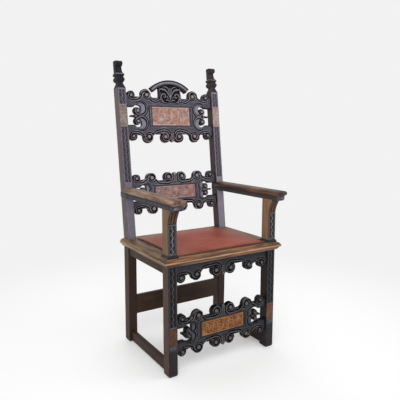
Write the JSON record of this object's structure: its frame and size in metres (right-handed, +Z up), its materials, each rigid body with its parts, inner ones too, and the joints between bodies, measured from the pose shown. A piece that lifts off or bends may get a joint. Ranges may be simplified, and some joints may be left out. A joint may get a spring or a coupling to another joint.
{
  "type": "wainscot chair",
  "caption": "High-backed joined oak armchair with pierced scroll-carved rails, arched crest, inlaid plaques, turned-out arms and a stuffed red leather seat.",
  "frame": {"origin": "middle of the chair's footprint on the floor", "axes": "+X to the chair's right as seen from the front, +Y from front to back, +Z up"},
  "size_m": [0.589, 0.5782, 1.306],
  "materials": {
    "dark_oak": "old waxed oak, nearly black in the carving",
    "golden_oak": "worn waxed oak, golden brown on the edges",
    "plaque_wood": "low-relief carved panel, satin",
    "seat_leather": "matte worn brick red",
    "braid": "dark woven trim"
  },
  "bodies": {
    "root": {"arm_board_left": "golden_oak", "arm_board_right": "golden_oak", "arm_frieze_left": "golden_oak", "arm_frieze_right": "golden_oak", "arm_post_left": "dark_oak", "arm_post_right": "dark_oak", "back_post_inlay_left": "plaque_wood", "back_post_inlay_right": "plaque_wood", "back_post_left": "dark_oak", "back_post_right": "dark_oak", "back_seat_rail": "dark_oak", "back_stretcher": "dark_oak", "crest_cornice": "dark_oak", "crest_plaque": "plaque_wood", "crest_plaque_frame": "dark_oak", "crest_rail": "dark_oak", "finial_left": "dark_oak", "finial_right": "dark_oak", "front_apron": "dark_oak", "front_leg_inlay_left": "plaque_wood", "front_leg_inlay_right": "plaque_wood", "front_leg_left": "dark_oak", "front_leg_right": "dark_oak", "front_plaque": "plaque_wood", "front_plaque_frame": "dark_oak", "front_stretcher": "dark_oak", "middle_plaque": "plaque_wood", "middle_plaque_frame": "dark_oak", "middle_rail": "dark_oak", "seat_back_board": "dark_oak", "seat_braid": "braid", "seat_front_board": "golden_oak", "seat_left_board": "golden_oak", "seat_pad": "seat_leather", "seat_panel": "dark_oak", "seat_right_board": "golden_oak", "side_seat_rail_left": "dark_oak", "side_seat_rail_right": "dark_oak", "side_stretcher_left": "dark_oak", "side_stretcher_right": "dark_oak"}
  },
  "joints": []
}
